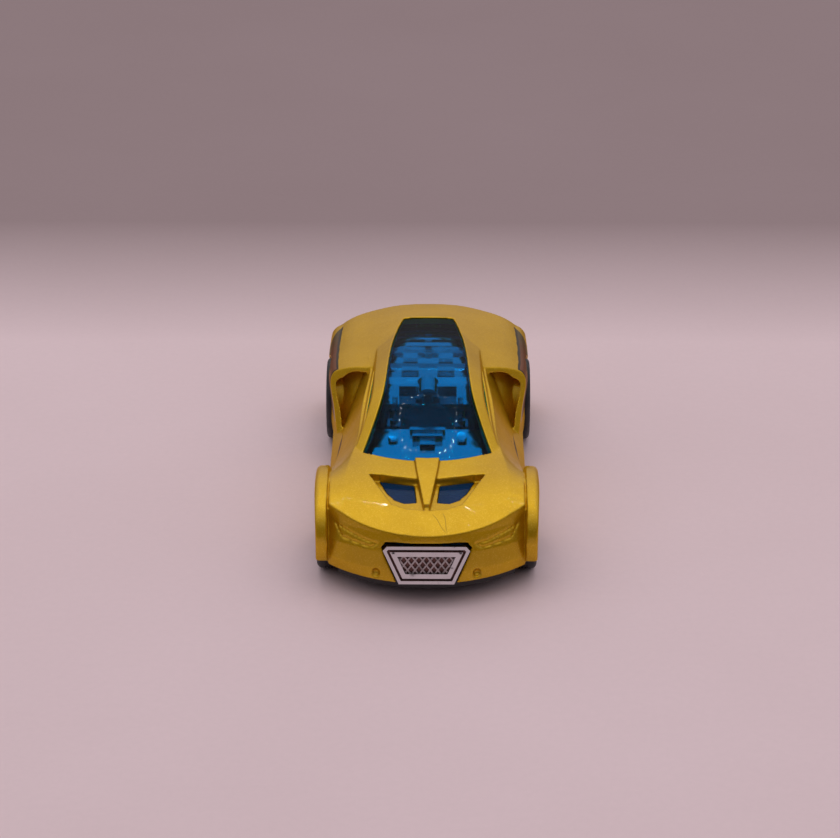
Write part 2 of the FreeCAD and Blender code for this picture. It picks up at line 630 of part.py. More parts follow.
def gear_train():
    """Centres of the idler and drum and the direction from each shaft to the next."""
    first = math.radians(180 - IDLER_RISE_DEG)
    reach = GEAR_MODULE * (AXLE_TEETH + IDLER_BIG_TEETH) / 2 + MESH_GAP
    idler = (REAR_AXLE[0] + reach * math.cos(first), REAR_AXLE[1] + reach * math.sin(first))
    second = math.radians(180 - DRUM_RISE_DEG)
    reach = GEAR_MODULE * (IDLER_SMALL_TEETH + DRUM_TEETH) / 2 + MESH_GAP
    drum = (idler[0] + reach * math.cos(second), idler[1] + reach * math.sin(second))
    return idler, drum, first, second


def bored(shape, centre, r):
    y, z = centre
    return shape.cut(rod(y, z, r, -20, 20))


def axle_pinion():
    first = gear_train()[2]
    teeth = gear(REAR_AXLE, AXLE_TEETH, first, 4.0, 6.3)
    return bored(fuse(teeth, rod(*REAR_AXLE, 1.5, 3.2, 6.45)), REAR_AXLE, AXLE_R)


def compound_gear():
    idler, drum, first, second = gear_train()
    facing = first + math.pi
    big = gear(idler, IDLER_BIG_TEETH, facing + math.pi / IDLER_BIG_TEETH, 4.4, 6.0)
    small = gear(idler, IDLER_SMALL_TEETH, second, 1.5, 4.5)
    hub = rod(*idler, 1.1, -6.45, 6.45)
    return bored(fuse(big, small, hub), idler, PIN_R + RUNNING_GAP)


def spring_drum_gear():
    idler, drum, first, second = gear_train()
    facing = second + math.pi
    wheel = gear(drum, DRUM_TEETH, facing + math.pi / DRUM_TEETH, 1.8, 3.2)
    arbor = rod(*drum, 1.25, -6.45, 6.45)
    slot = box(-4.2, 1.4, drum[0] - 0.16, drum[0] + 0.16, drum[1] + 0.9, drum[1] + 2)
    return bored(fuse(wheel, arbor).cut(slot), drum, PIN_R + RUNNING_GAP)


def mainspring():
    """A flat spiral ribbon whose inner end sits in the arbor's slot."""
    _, (cy, cz), _, _ = gear_train()
    thick, r0, r1, turns = 0.16, 1.5, 4.2, 7.0
    inner, outer = [], []
    steps = int(turns * 28)
    for i in range(steps + 1):
        angle = math.pi / 2 + 2 * math.pi * turns * i / steps
        radius = r0 + (r1 - r0) * i / steps
        for points, shift in ((inner, -thick / 2), (outer, thick / 2)):
            points.append((cy + (radius + shift) * math.cos(angle), cz + (radius + shift) * math.sin(angle)))
    band = prism_x(inner + outer[::-1], -4.0, 1.2)
    hook = box(-4.0, 1.2, cy - 0.08, cy + 0.08, cz + 1.0, cz + r0)
    tail = box(-4.0, 1.2, cy - 0.08, cy + 0.08, cz + r1 - 0.05, CASE_ROOF - CASE_WALL)
    return fuse(band, hook, tail)


# ---------------------------------------------------------------- motor case and chassis
CASE_ROOF = 13.4
CASE = [(1.2, BASE_Z), (23.2, BASE_Z), (23.2, 9.4), (19.0, 12.4), (17.2, CASE_ROOF), (1.2, CASE_ROOF)]


def motor_case(side):
    """Half of the motor case; side is 1 for the +X half and -1 for the other."""
    shell = prism_x(CASE, 0, CASE_HALF_X).cut(prism_x(grow(CASE, -CASE_WALL), -1, CASE_HALF_X - CASE_WALL))
    idler, drum, _, _ = gear_train()
    shell = bored(shell, REAR_AXLE, AXLE_R + RUNNING_GAP)
    for centre in (idler, drum):
        shell = shell.fuse(rod(*centre, 1.5, CASE_HALF_X - CASE_WALL, CASE_HALF_X + 0.5))
        shell = bored(shell, centre, PIN_R)
    ears = [box(CASE_HALF_X - 2.0, CASE_HALF_X, -0.9, 1.2, BASE_Z + 1.25, BASE_Z + 2.25)]
    ears.append(box(CASE_HALF_X - 2.0, CASE_HALF_X, 23.2, 25.3, BASE_Z + 1.25, BASE_Z + 2.25))
    shell = fuse(shell, *ears)
    return shell if side > 0 else mirrored(shell)


def gear_pins():
    idler, drum, _, _ = gear_train()
    end = CASE_HALF_X + 0.6
    return Part.makeCompound([rod(*centre, PIN_R, -end, end) for centre in (idler, drum)])


def chassis():
    plan = skin(WALL + 0.2, INTAKE_BACK + 0.3).common(box(-30, 30, -60, 60, SILL_Z + 0.1, SILL_Z + 0.7))
    low = [f for f in plan.Faces if abs(f.CenterOfMass.z - SILL_Z - 0.1) < 0.02]
    plate = fuse(*[f.translated(Vector(0, 0, BASE_Z - SILL_Z - 0.1)).extrude(Vector(0, 0, 1.2)) for f in low])
    for axle, wheel in ((FRONT_AXLE, FRONT_WHEEL), (REAR_AXLE, REAR_WHEEL)):
        reach = wheel["tyre_r"] + wheel["arch_gap"]
        well = box(wheel["inner_x"] - 0.7, 20, axle[0] - reach, axle[0] + reach, 0, 10)
        plate = plate.cut(fuse(*both(well)))
    plate = plate.cut(grille_prism(0.15, -37, -32.4))
    plate = plate.cut(box(-CASE_HALF_X - FIT, CASE_HALF_X + FIT, 1.2 - FIT, 23.2 + FIT, 0, 10))
    saddles = both(box(6.0, 8.4, FRONT_AXLE[0] - 2.6, FRONT_AXLE[0] + 2.6, BASE_Z + 1, 7.6))
    bearings = both(box(8.6, 10.4, REAR_AXLE[0] - 2.0, REAR_AXLE[0] + 2.0, BASE_Z + 1, 8.4))
    plate = fuse(plate, *saddles, *bearings)
    for axle in (FRONT_AXLE, REAR_AXLE):
        gap = AXLE_R + RUNNING_GAP
        plate = plate.cut(fuse(rod(*axle, gap, -11, 11), box(-11, 11, axle[0] - gap, axle[0] + gap, axle[1], 20)))
    for x, y in SCREWS:
        plate = plate.cut(fuse(post(x, y, 0.95, 0, 5), post(x, y, 1.65, 0, BASE_Z + 0.7)))
    for y0, y1 in ((-14.5, -13.9), (-11.5, -10.9), (-8.5, -7.9), (-5.5, -4.9)):
        plate = plate.cut(box(-8, 8, y0, y1, 0, BASE_Z + 0.3))
    for sign in (-1, 1):
        plate = plate.cut(box(*sorted((sign * 9.6, sign * 10.4)), -13, 9, 0, BASE_Z + 0.35))
    return largest(plate)


def front_axle_retainer():
    """A bar that closes the front axle's saddles from above."""
    y, z = FRONT_AXLE
    bar = box(-8.4, 8.4, y - 2.0, y + 2.0, 7.62, 8.5)
    fingers = both(box(6.2, 8.2, y - AXLE_R, y + AXLE_R, z + AXLE_R + RUNNING_GAP, 7.9))
    return fuse(bar, *fingers)


def chassis_screws():
    screws = []
    for x, y in SCREWS:
        head = post(x, y, 1.55, BASE_Z, BASE_Z + 0.65)
        cross = fuse(box(x - 0.9, x + 0.9, y - 0.15, y + 0.15, BASE_Z - 1, BASE_Z + 0.35),
                     box(x - 0.15, x + 0.15, y - 0.9, y + 0.9, BASE_Z - 1, BASE_Z + 0.35))
        screws.append(fuse(head, post(x, y, 0.8, BASE_Z + 0.3, BASE_Z + 5.5)).cut(cross))
    return Part.makeCompound(screws)


if __name__ == "__main__":
    os.makedirs("parts", exist_ok=True)
    save("body_shell", body_shell())
    save("window_insert", window_insert())
    save("front_grille", front_grille())
    save("interior_tub", interior_tub())
    save("chassis", chassis())
    save("chassis_screws", chassis_screws())
    save("front_axle_retainer", front_axle_retainer())
    save("motor_case_left", motor_case(1))
    save("motor_case_right", motor_case(-1))
    save("gear_pins", gear_pins())
    save("mainspring", mainspring())
    for name, axle, wheel in (("front", FRONT_AXLE, FRONT_WHEEL), ("rear", REAR_AXLE, REAR_WHEEL)):
        rim, tyre = wheel_parts(axle, wheel)
        save(f"{name}_axle", axle_rod(axle, wheel))
        save(f"{name}_left_rim", rim)
        save(f"{name}_left_tyre", tyre)
        save(f"{name}_right_rim", mirrored(rim))
        save(f"{name}_right_tyre", mirrored(tyre))
    save("axle_pinion", axle_pinion())
    save("compound_gear", compound_gear())
    save("spring_drum_gear", spring_drum_gear())
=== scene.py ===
import math

import bpy
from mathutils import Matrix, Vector


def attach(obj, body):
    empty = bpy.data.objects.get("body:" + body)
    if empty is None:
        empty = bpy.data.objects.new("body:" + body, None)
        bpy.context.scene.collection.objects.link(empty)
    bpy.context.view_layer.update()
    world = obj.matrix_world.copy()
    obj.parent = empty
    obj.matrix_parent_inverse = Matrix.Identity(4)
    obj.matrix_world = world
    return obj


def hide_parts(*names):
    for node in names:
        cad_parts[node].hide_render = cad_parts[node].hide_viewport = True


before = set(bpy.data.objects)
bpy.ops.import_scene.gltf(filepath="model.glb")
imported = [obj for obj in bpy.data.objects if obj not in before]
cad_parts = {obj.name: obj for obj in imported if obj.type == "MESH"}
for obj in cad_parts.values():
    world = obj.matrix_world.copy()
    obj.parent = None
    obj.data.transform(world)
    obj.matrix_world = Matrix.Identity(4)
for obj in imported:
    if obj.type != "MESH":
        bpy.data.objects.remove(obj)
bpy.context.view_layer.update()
MM = 0.001


def rgb(r, g, b):
    return (r, g, b, 1.0)


# ---------------------------------------------------------------- sizes, places and colours
# Camera: in front of the nose and above it. The focal length is in pixels of the image's width.
CAMERA_ELEVATION, CAMERA_AZIMUTH = 26.0, 0.44
CAMERA_DISTANCE = 0.400
CAMERA_TARGET = Vector((-1.22 * MM, 8.5 * MM, 8.0 * MM))
IMAGE_WIDTH, FOCAL_PIXELS, SENSOR = 840, 2617.0, 36.0

# Body casting: remeshing cell, smoothing passes, and the most triangles kept.
BODY_VOXEL, BODY_PASSES, BODY_FACES = 0.13 * MM, 5, 188000
# Edge rounding of CAD pieces, in millimetres.
BEVELS = {"front_grille": 0.10, "interior_tub": 0.22}
BEVEL_ANGLE = 35

# Pearl paint
PAINT_TONES = rgb(0.60, 0.35, 0.006), rgb(0.67, 0.40, 0.010)
FLAKE_COLOUR, FLAKE_SCALE = rgb(0.95, 0.66, 0.10), 9000.0
PAINT_SHEEN = rgb(0.80, 0.58, 0.16)
# Less coat on sideways-facing surfaces dims their reflections: painted shade on the car's sides.
COAT_ON_TOP, COAT_ON_SIDES = 0.40, 0.06

# Wear. Each scratch runs from one (x, y) to another on the nose, in millimetres.
SCRATCHES = [((0.64, -28.1), (2.9, -32.3)), ((2.2, -27.9), (3.0, -32.1))]
SCRATCH_HALF, SCRATCH_BEND, SCRATCH_COLOUR = 0.10, 0.12, rgb(0.30, 0.17, 0.01)
SPECK_SCALE, SPECK_COLOUR = 170.0, rgb(0.14, 0.07, 0.01)

# Printed panel on each rear quarter, in millimetres. Its front edge follows the intake's face.
INTAKE_NORMAL, INTAKE_POINT = (-0.652, 0.640, -0.405), (14.0, 13.5, 14.2)
DECAL_END_Y, DECAL_TIP_Y, DECAL_TOP_Z = 8.0, 29.6, 14.2
DECAL_INNER_X, DECAL_BOTTOM_Z = 13.2, 5.2
DECAL_LOW_SLOPE, DECAL_LOW_Z = 0.35, 3.6
DECAL_STOPS = [
    (8.0, rgb(0.46, 0.40, 0.45)), (10.5, rgb(0.28, 0.18, 0.19)), (14.0, rgb(0.24, 0.10, 0.10)),
    (21.0, rgb(0.16, 0.045, 0.038)), (26.5, rgb(0.085, 0.060, 0.035)), (29.6, rgb(0.060, 0.068, 0.050)),
]
DECAL_EDGES = rgb(0.48, 0.47, 0.52), rgb(0.018, 0.022, 0.045)
DECAL_CENTRE = rgb(0.040, 0.055, 0.035)
# Dark crescent along each door's crease.
CREASE_SLOPE, CREASE_Z, CREASE_MIDDLE_Y = -0.066, 7.5, -0.5
CREASE_COLOUR = rgb(0.050, 0.026, 0.060)

# Blue glazing. The hood vents' panes lie ahead of VENT_PANES_Y and are cloudier than the rest.
GLASS_TINT = rgb(0.06, 0.66, 0.86)
GLASS_HAZE = rgb(0.0, 0.07, 0.26), rgb(0.0, 0.12, 0.38)
VENT_PANES_Y = -0.0185
CLOUDY_VENTS, CLOUDY_CANOPY = 0.26, 0.01
GLASS_FACE_ON, GLASS_GLANCING = 0.009, 0.20

# Grille: its face passes through this (y, z) in millimetres and leans back from upright.
GRILLE_PIVOT, GRILLE_LEAN = (-34.2, 3.0), math.radians(13.0)
# Painted shade for the grille's recessed grooves and mesh cells.
GRILLE_PAINTED_SHADE = rgb(0.16, 0.085, 0.075)

# Paper under the car, with painted shade making it darker behind the car.
FLOOR_HALF = 3.0
PAPER_TONES = rgb(0.80, 0.63, 0.66), rgb(0.84, 0.665, 0.70)
PAPER_FIBRE, PAPER_PAINTED_SHADE = rgb(0.5, 0.42, 0.44), rgb(0.11, 0.065, 0.065)
SHADE_START_Y, SHADE_END_Y, SHADE_AMOUNT = 0.055, 0.110, 0.66

# Light: a ring of small lamps above and behind the car, in a dim room with a bright ceiling.
BEADS, BEAD_RING, BEAD_HEIGHT, BEAD_SIZE = 28, 0.105, 0.40, 0.0050
BEAD_CENTRE_Y, BEAD_POWER = 0.145, 0.0044
ROOM_COLOUR, CEILING_AXIS = rgb(0.97, 0.92, 0.94), (0.0, 0.35, 0.94)
ROOM_RANGE = -0.05, 0.85
ROOM_DARK, ROOM_BRIGHT = 0.02, 0.93


# ---------------------------------------------------------------- node helpers
class Nodes:
    """A material's node tree, built by short calls."""

    def __init__(self, name):
        self.mat = bpy.data.materials.new(name)
        self.mat.use_nodes = True
        self.tree = self.mat.node_tree
        self.tree.nodes.clear()
        self.out = self.new("ShaderNodeOutputMaterial")
        self.bsdf = self.new("ShaderNodeBsdfPrincipled")
        self.link(self.bsdf.outputs[0], self.out.inputs["Surface"])
        self.coords = self.new("ShaderNodeTexCoord").outputs["Object"]

    def new(self, kind, **settings):
        node = self.tree.nodes.new(kind)
        for key, value in settings.items():
            setattr(node, key, value)
        return node

    def link(self, a, b):
        self.tree.links.new(a, b)

    def put(self, value, socket):
        if isinstance(value, bpy.types.NodeSocket):
            self.link(value, socket)
        else:
            socket.default_value = value

    def set(self, **values):
        for key, value in values.items():
            self.put(value, self.bsdf.inputs[key.replace("_", " ")])

    def noise(self, scale, detail=2.0, roughness=0.5, vector=None):
        node = self.new("ShaderNodeTexNoise")
        self.link(vector or self.coords, node.inputs["Vector"])
        node.inputs["Scale"].default_value = scale
        node.inputs["Detail"].default_value = detail
        node.inputs["Roughness"].default_value = roughness
        return node.outputs["Fac"]

    def cells(self, scale, output="Color"):
        node = self.new("ShaderNodeTexVoronoi")
        self.link(self.coords, node.inputs["Vector"])
        node.inputs["Scale"].default_value = scale
        return node.outputs[output]

    def math(self, operation, a, b=0.0, c=0.0):
        node = self.new("ShaderNodeMath", operation=operation)
        for value, socket in zip((a, b, c), node.inputs):
            self.put(value, socket)
        return node.outputs[0]

    def times(self, first, *others):
        """The product of two or more values."""
        for other in others:
            first = self.math("MULTIPLY", first, other)
        return first

    def minus(self, a, b):
        return self.math("SUBTRACT", a, b)

    def size(self, value):
        return self.math("ABSOLUTE", value)

    def remap(self, value, a, b, c, d):
        """The value, taken from the range a to b onto c to d, and held there."""
        node = self.new("ShaderNodeMapRange", clamp=True)
        for v, socket in zip((value, a, b, c, d), node.inputs):
            self.put(v, socket)
        return node.outputs[0]

    def rise(self, value, low, high):
        """0 below low, 1 above high."""
        return self.remap(value, low, high, 0.0, 1.0)

    def fall(self, value, low, high):
        """1 below low, 0 above high."""
        return self.remap(value, low, high, 1.0, 0.0)

    def mix(self, fac, a, b):
        node = self.new("ShaderNodeMix", data_type="RGBA")
        self.put(fac, node.inputs[0])
        self.put(a, node.inputs[6])
        self.put(b, node.inputs[7])
        return node.outputs[2]

    def split(self, vector=None):
        node = self.new("ShaderNodeSeparateXYZ")
        self.link(vector or self.coords, node.inputs[0])
        return node.outputs

    def millimetres(self):
        """The place on the object as x, y and z in millimetres."""
        return [self.times(axis, 1.0 / MM) for axis in self.split()]

    def facing(self):
        """The surface's direction on the object, as x, y and z."""
        return self.split(self.new("ShaderNodeTexCoord").outputs["Normal"])

    def ramp(self, value, stops):
        """Colours along a value, from (value, colour) stops."""
        low, high = stops[0][0], stops[-1][0]
        node = self.new("ShaderNodeValToRGB")
        self.link(self.rise(value, low, high), node.inputs[0])
        line = node.color_ramp
        line.elements[0].position, line.elements[0].color = 0.0, stops[0][1]
        line.elements[1].position, line.elements[1].color = 1.0, stops[-1][1]
        for place, colour in stops[1:-1]:
            line.elements.new((place - low) / (high - low)).color = colour
        return node.outputs[0]

    def blend(self, fac, a, b):
        """One shader's output mixed into another's."""
        node = self.new("ShaderNodeMixShader")
        for value, socket in zip((fac, a, b), node.inputs):
            self.link(value, socket)
        return node.outputs[0]

    def bump(self, height, distance, strength=1.0, onto=None):
        node = self.new("ShaderNodeBump")
        self.link(height, node.inputs["Height"])
        node.inputs["Distance"].default_value = distance
        node.inputs["Strength"].default_value = strength
        if onto is not None:
            self.link(onto, node.inputs["Normal"])
        return node.outputs[0]


# ---------------------------------------------------------------- paint, wear and decals
def pearl_paint():
    """Gold paint with pearl flakes under a clear coat, which is weakened on sideways-facing surfaces as
    painted shade that dims their reflections.
    """
    n = Nodes("pearl_paint")
    flakes = n.split(n.cells(FLAKE_SCALE))[0]
    base = n.mix(n.rise(n.noise(160.0, 3.0), 0.3, 0.7), *PAINT_TONES)
    base = n.mix(n.remap(flakes, 0.75, 1.0, 0.0, 0.35), base, FLAKE_COLOUR)
    base = wear(n, decals(n, base))
    # Painted shade: the coat fades where the surface faces sideways, so the doors reflect less of the
    # floor.
    gloss = n.remap(n.size(n.facing()[0]), 0.45, 0.85, COAT_ON_TOP, COAT_ON_SIDES)
    rough = n.remap(n.noise(700.0, 3.0), 0.3, 0.7, 0.34, 0.42)
    n.set(Base_Color=base, Metallic=0.74, Roughness=rough, IOR=1.4, Specular_Tint=PAINT_SHEEN)
    n.set(Coat_Weight=gloss, Coat_Roughness=0.03, Coat_IOR=1.45)
    n.link(n.bump(flakes, 0.000004, 0.25), n.bsdf.inputs["Normal"])
    n.link(n.bump(n.noise(420.0, 2.0), 0.000012, 0.4), n.bsdf.inputs["Coat Normal"])
    return n.mat


def scratch_mask(n, x, y, a, b):
    """1 near the slightly bent line from a to b, seen from above."""
    length = math.dist(a, b)
    ux, uy = (b[0] - a[0]) / length, (b[1] - a[1]) / length
    dx, dy = n.minus(x, a[0]), n.minus(y, a[1])
    along = n.math("ADD", n.times(dx, ux), n.times(dy, uy))
    across = n.minus(n.times(dx, uy), n.times(dy, ux))
    bend = n.times(n.math("SINE", n.times(along, 1.3)), SCRATCH_BEND)
    near = n.fall(n.size(n.math("ADD", across, bend)), SCRATCH_HALF * 0.4, SCRATCH_HALF)
    middle = n.size(n.minus(along, length / 2))
    return n.times(near, n.fall(middle, length * 0.35, length / 2))


def wear(n, base):
    """Fine scratches on the nose and a few dark specks in the paint."""
    x, y, _ = n.millimetres()
    marks = [scratch_mask(n, x, y, a, b) for a, b in SCRATCHES]
    base = n.mix(n.times(n.math("MAXIMUM", *marks), 0.6), base, SCRATCH_COLOUR)
    speck = n.remap(n.cells(SPECK_SCALE, "Distance"), 0.020, 0.034, 0.8, 0.0)
    rare = n.rise(n.split(n.cells(SPECK_SCALE))[1], 0.80, 0.81)
    return n.mix(n.times(speck, rare), base, SPECK_COLOUR)


def facing_outward(n, x):
    """1 where the surface faces away from the car's middle plane, and not forwards."""
    turned = n.facing()
    outward = n.rise(n.times(turned[0], n.math("SIGN", x)), 0.22, 0.34)
    return n.times(outward, n.rise(turned[1], -0.56, -0.50))


def decal_depth(n, side, y, z):
    """How far inside the panel's front and top edges a place is."""
    parts = [n.times(n.minus(axis, point), normal)
             for axis, point, normal in zip((side, y, z), INTAKE_POINT, INTAKE_NORMAL)]
    behind_intake = n.math("ADD", n.math("ADD", parts[0], parts[1]), parts[2])
    inner = n.math("MINIMUM", behind_intake, n.minus(DECAL_TOP_Z, z))
    wobble = n.times(n.minus(n.noise(700.0, 3.0), 0.5), 0.16)
    return n.math("ADD", inner, wobble)


def decal_mask(n, side, y, z, outward, inner):
    under = n.minus(z, n.math("MULTIPLY_ADD", y, DECAL_LOW_SLOPE, DECAL_LOW_Z))
    return n.times(
        outward,
        n.rise(inner, 0.08, 0.14),
        n.rise(side, DECAL_INNER_X, DECAL_INNER_X + 0.2),
        n.rise(y, DECAL_END_Y, DECAL_END_Y + 0.6),
        n.fall(y, DECAL_TIP_Y - 0.3, DECAL_TIP_Y),
        n.rise(under, 0.0, 0.12),
        n.rise(z, DECAL_BOTTOM_Z, DECAL_BOTTOM_Z + 1.0),
    )


def decal_colour(n, y, inner):
    """Brown along the panel, with a thin edge line and a darker centre."""
    edge = n.mix(n.rise(y, 12.0, 13.5), *DECAL_EDGES)
    colour = n.mix(n.fall(inner, 0.28, 0.36), n.ramp(y, DECAL_STOPS), edge)
    return n.mix(n.remap(inner, 1.15, 1.35, 0.0, 0.85), colour, DECAL_CENTRE)


def door_streak(n, y, z, outward):
    """A thin dark crescent along the door's crease."""
    crease = n.minus(z, n.math("MULTIPLY_ADD", y, CREASE_SLOPE, CREASE_Z))
    reach = n.remap(n.size(n.minus(y, CREASE_MIDDLE_Y)), 1.0, 6.5, 0.34, 0.0)
    return n.times(n.rise(n.minus(reach, n.size(crease)), 0.0, 0.08), outward)


def decals(n, base):
    """Paints both sides' panels and door crescents over the base colour."""
    x, y, z = n.millimetres()
    side, outward = n.size(x), facing_outward(n, x)
    inner = decal_depth(n, side, y, z)
    base = n.mix(decal_mask(n, side, y, z, outward, inner), base, decal_colour(n, y, inner))
    return n.mix(door_streak(n, y, z, outward), base, CREASE_COLOUR)


# ---------------------------------------------------------------- other materials
def tinted_glass():
    """Clear blue plastic: it tints what is behind it, and reflects most at a glancing angle."""
    n = Nodes("blue_glazing")
    haze = n.noise(60.0, 3.0)
    through = n.new("ShaderNodeBsdfTransparent")
    through.inputs[0].default_value = GLASS_TINT
    n.set(Base_Color=n.mix(haze, *GLASS_HAZE), Roughness=n.remap(haze, 0.3, 0.7, 0.05, 0.12), IOR=1.35)
    shine = n.new("ShaderNodeBsdfGlossy")
    shine.inputs["Roughness"].default_value = 0.03
    n.link(n.bump(n.noise(140.0, 2.0), 0.00002, 0.35), shine.inputs["Normal"])
    weight = n.new("ShaderNodeLayerWeight")
    weight.inputs["Blend"].default_value = 0.5
    edge_on = n.math("POWER", weight.outputs["Facing"], 5.0)
    grazing = n.math("MULTIPLY_ADD", edge_on, GLASS_GLANCING, GLASS_FACE_ON)
    behind_vents = VENT_PANES_Y + 0.5 * MM
    cloudy = n.remap(n.split()[1], VENT_PANES_Y, behind_vents, CLOUDY_VENTS, CLOUDY_CANOPY)
    clear = n.blend(cloudy, through.outputs[0], n.bsdf.outputs[0])
    n.link(n.blend(grazing, clear, shine.outputs[0]), n.out.inputs["Surface"])
    return n.mat


def plating(name, shade, rough):
    """Plated plastic's nodes, base colour and roughness, for others to build on."""
    n = Nodes(name)
    smear = n.noise(300.0, 4.0)
    base = n.mix(smear, rgb(shade * 0.93, shade * 0.92, shade * 0.95), rgb(shade, shade, shade))
    roughness = n.remap(smear, 0.3, 0.75, rough, rough * 2.4)
    n.set(Base_Color=base, Metallic=1.0, Roughness=roughness)
    fine = n.bump(n.noise(900.0, 2.0), 0.000008, 0.5)
    n.link(n.bump(n.noise(480.0, 1.0), 0.00014, 0.6, onto=fine), n.bsdf.inputs["Normal"])
    return n, base, roughness


def chrome(name, shade, rough):
    return plating(name, shade, rough)[0].mat


def grille_plating():
    """Bright plating with painted shade darkening the grooves and the cells of the mesh."""
    n, base, rough = plating("plated_plastic", 0.66, 0.04)
    _, y, z = n.millimetres()
    back = n.times(n.minus(y, GRILLE_PIVOT[0]), math.cos(GRILLE_LEAN))
    down = n.times(n.minus(z, GRILLE_PIVOT[1]), math.sin(GRILLE_LEAN))
    # Painted shade: the deeper a place lies behind the grille's face, the darker its colour.
    sunk = n.rise(n.minus(back, down), -0.30, 0.12)
    n.set(Base_Color=n.mix(sunk, base, GRILLE_PAINTED_SHADE))
    n.set(Roughness=n.math("MULTIPLY_ADD", sunk, 0.25, rough))
    return n.mat


def plastic(name, colour, rough=0.42):
    """Moulded plastic with a fine grain and a slightly uneven tone."""
    n = Nodes(name)
    darker = rgb(*[c * 0.78 for c in colour[:3]])
    n.set(Base_Color=n.mix(n.rise(n.noise(500.0, 4.0), 0.3, 0.7), darker, colour))
    n.set(Roughness=n.remap(n.noise(1500.0, 3.0), 0.3, 0.7, rough - 0.06, rough + 0.08))
    n.link(n.bump(n.noise(2600.0, 3.0), 0.00001, 0.6), n.bsdf.inputs["Normal"])
    return n.mat


def steel(name, colour=rgb(0.56, 0.56, 0.58), rough=0.25):
    """Steel with fine lines round the X axis."""
    n = Nodes(name)
    stretched = n.new("ShaderNodeMapping")
    stretched.inputs["Scale"].default_value = (6.0, 1.0, 1.0)
    n.link(n.coords, stretched.inputs[0])
    lines = n.noise(900.0, 3.0, vector=stretched.outputs[0])
    roughness = n.remap(lines, 0.3, 0.7, rough - 0.07, rough + 0.1)
    n.set(Base_Color=colour, Metallic=1.0, Roughness=roughness)
    n.link(n.bump(lines, 0.000008, 0.5), n.bsdf.inputs["Normal"])
    return n.mat


def rubber():
    """Black tyre rubber with a little dust."""
    n = Nodes("tyre")
    dust = n.remap(n.noise(260.0, 5.0), 0.55, 0.8, 0.0, 0.5)
    n.set(Base_Color=n.mix(dust, rgb(0.012, 0.012, 0.014), rgb(0.05, 0.045, 0.042)))
    n.set(Roughness=n.remap(n.noise(1200.0, 3.0), 0.3, 0.7, 0.42, 0.58))
    n.link(n.bump(n.noise(3000.0, 2.0), 0.00001, 0.5), n.bsdf.inputs["Normal"])
    return n.mat


def paper():
    """Pale pink paper, gently uneven, with fibres, and painted shade darkening it towards the back."""
    n = Nodes("paper")
    cloud, fibre = n.noise(9.0, 4.0, 0.55), n.noise(900.0, 5.0, 0.6)
    base = n.mix(n.rise(cloud, 0.35, 0.65), *PAPER_TONES)
    base = n.mix(n.remap(fibre, 0.3, 0.7, 0.0, 0.06), base, PAPER_FIBRE)
    # Painted shade: the paper is darkened towards the back.
    far = n.remap(n.split()[1], SHADE_START_Y, SHADE_END_Y, 0.0, SHADE_AMOUNT)
    n.set(Base_Color=n.mix(far, base, PAPER_PAINTED_SHADE), Roughness=0.85, Specular_IOR_Level=0.2)
    height = n.math("ADD", n.times(fibre, 0.06), n.noise(26.0, 4.0))
    n.link(n.bump(height, 0.0012, 0.35), n.bsdf.inputs["Normal"])
    return n.mat


# ---------------------------------------------------------------- geometry
def evaluated_copy(obj):
    graph = bpy.context.evaluated_depsgraph_get()
    graph.update()
    return bpy.data.meshes.new_from_object(obj.evaluated_get(graph), depsgraph=graph)


def softened(node, name):
    """The CAD node's mesh, remeshed and smoothed so that its edges are rounded like a casting's."""
    work = bpy.data.objects.new(name + "_work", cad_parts[node].data.copy())
    bpy.context.collection.objects.link(work)
    remesh = work.modifiers.new("remesh", "REMESH")
    remesh.mode, remesh.voxel_size, remesh.adaptivity = "VOXEL", BODY_VOXEL, 0.0
    smooth = work.modifiers.new("smooth", "SMOOTH")
    smooth.factor, smooth.iterations = 0.5, BODY_PASSES
    fine = evaluated_copy(work)
    work.modifiers.clear()
    work.data = fine
    share = BODY_FACES / (2.0 * len(fine.polygons))
    if share < 1.0:
        work.modifiers.new("less", "DECIMATE").ratio = share
    mesh = evaluated_copy(work)
    mesh.name = name
    bpy.data.objects.remove(work)
    mesh.polygons.foreach_set("use_smooth", [True] * len(mesh.polygons))
    return mesh


def make_body():
    """The painted casting, which takes the CAD shell's place."""
    mesh = softened("body_shell", "painted_body")
    mesh.materials.clear()
    mesh.materials.append(pearl_paint())
    body = bpy.data.objects.new("painted_body", mesh)
    bpy.context.collection.objects.link(body)
    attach(body, "car")
    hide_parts("body_shell")


def bevel(obj, width):
    """Rounds the sharp edges of a CAD piece."""
    tool = obj.modifiers.new("bevel", "BEVEL")
    tool.width, tool.segments = width * MM, 2
    tool.limit_method, tool.angle_limit = "ANGLE", math.radians(BEVEL_ANGLE)
    obj.data.polygons.foreach_set("use_smooth", [True] * len(obj.data.polygons))
    obj.modifiers.new("normals", "WEIGHTED_NORMAL").keep_sharp = True


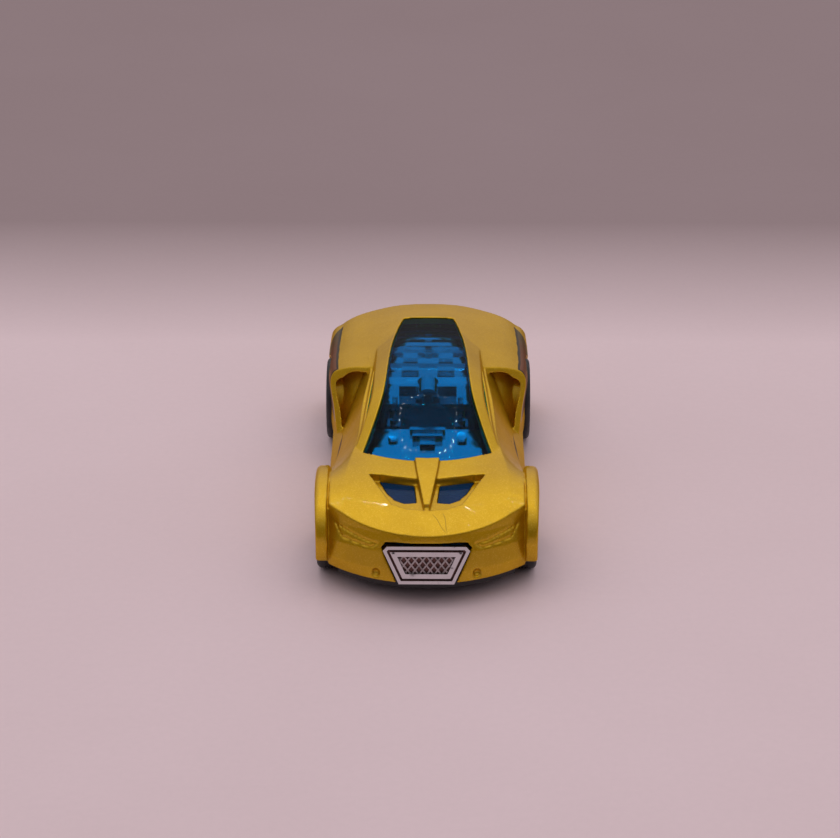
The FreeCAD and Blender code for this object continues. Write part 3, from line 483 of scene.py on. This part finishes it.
def finish_cad_pieces():
    """Gives every other CAD node its material, and some of them rounded edges."""
    wheels = [f"{end}_{side}" for end in ("front", "rear") for side in ("left", "right")]
    finishes = [
        (tinted_glass(), ["window_insert"]),
        (grille_plating(), ["front_grille"]),
        (chrome("plated_interior", 0.78, 0.08), ["interior_tub"]),
        (plastic("base_plastic", rgb(0.02, 0.02, 0.022)), ["chassis", "front_axle_retainer"]),
        (plastic("case_plastic", rgb(0.05, 0.05, 0.055)), ["motor_case_left", "motor_case_right"]),
        (steel("steel"), ["chassis_screws", "gear_pins", "front_axle", "rear_axle"]),
        (steel("spring_steel", rgb(0.26, 0.28, 0.33), 0.3), ["mainspring"]),
        (chrome("plated_rim", 0.8, 0.08), [wheel + "_rim" for wheel in wheels]),
        (rubber(), [wheel + "_tyre" for wheel in wheels]),
        (plastic("gear_plastic", rgb(0.72, 0.68, 0.55), 0.35),
         ["axle_pinion", "compound_gear", "spring_drum_gear"]),
    ]
    for mat, nodes in finishes:
        for node in nodes:
            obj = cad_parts[node]
            obj.data.materials.clear()
            obj.data.materials.append(mat)
            if node in BEVELS:
                bevel(obj, BEVELS[node])


# ---------------------------------------------------------------- stage
def make_camera():
    data = bpy.data.cameras.new("camera")
    cam = bpy.data.objects.new("camera", data)
    bpy.context.collection.objects.link(cam)
    tilt, turn = math.radians(CAMERA_ELEVATION), math.radians(CAMERA_AZIMUTH)
    flat = Vector((math.sin(turn), -math.cos(turn), 0)) * math.cos(tilt)
    cam.location = CAMERA_TARGET + (flat + Vector((0, 0, math.sin(tilt)))) * CAMERA_DISTANCE
    cam.rotation_euler = (math.pi / 2 - tilt, 0, turn)
    data.sensor_width = SENSOR
    data.lens = SENSOR * FOCAL_PIXELS / IMAGE_WIDTH
    data.clip_start, data.clip_end = 0.01, 10.0
    bpy.context.scene.camera = cam


def make_floor():
    corners = [(x, y, 0.0) for y in (-FLOOR_HALF, FLOOR_HALF) for x in (-FLOOR_HALF, FLOOR_HALF)]
    mesh = bpy.data.meshes.new("floor")
    mesh.from_pydata(corners, [], [(0, 1, 3, 2)])
    mesh.materials.append(paper())
    floor = bpy.data.objects.new("floor", mesh)
    bpy.context.collection.objects.link(floor)


def make_room():
    """A dim room, brighter overhead and towards the back than in front."""
    world = bpy.data.worlds.new("world")
    bpy.context.scene.world = world
    world.use_nodes = True
    tree = world.node_tree
    background = tree.nodes["Background"]
    background.inputs[0].default_value = ROOM_COLOUR
    coords = tree.nodes.new("ShaderNodeTexCoord")
    slope = tree.nodes.new("ShaderNodeVectorMath")
    slope.operation = "DOT_PRODUCT"
    slope.inputs[1].default_value = CEILING_AXIS
    tree.links.new(coords.outputs["Generated"], slope.inputs[0])
    bright = tree.nodes.new("ShaderNodeMapRange")
    for value, socket in zip((*ROOM_RANGE, ROOM_DARK, ROOM_BRIGHT), list(bright.inputs)[1:5]):
        socket.default_value = value
    tree.links.new(slope.outputs["Value"], bright.inputs[0])
    tree.links.new(bright.outputs[0], background.inputs[1])


def make_lamps():
    """A ring of small round lamps, each aimed at the car."""
    for i in range(BEADS):
        a = 2 * math.pi * (i + 0.5) / BEADS
        spot = Vector((BEAD_RING * math.cos(a), BEAD_CENTRE_Y + BEAD_RING * math.sin(a), BEAD_HEIGHT))
        data = bpy.data.lights.new(f"bead_{i:02d}", "AREA")
        data.shape, data.size, data.energy = "DISK", BEAD_SIZE, BEAD_POWER
        lamp = bpy.data.objects.new(data.name, data)
        bpy.context.collection.objects.link(lamp)
        lamp.location = spot
        lamp.rotation_euler = (-spot).to_track_quat("-Z", "Y").to_euler()


bpy.context.scene.view_settings.view_transform = "Standard"
make_camera()
make_floor()
make_room()
make_lamps()
make_body()
finish_cad_pieces()
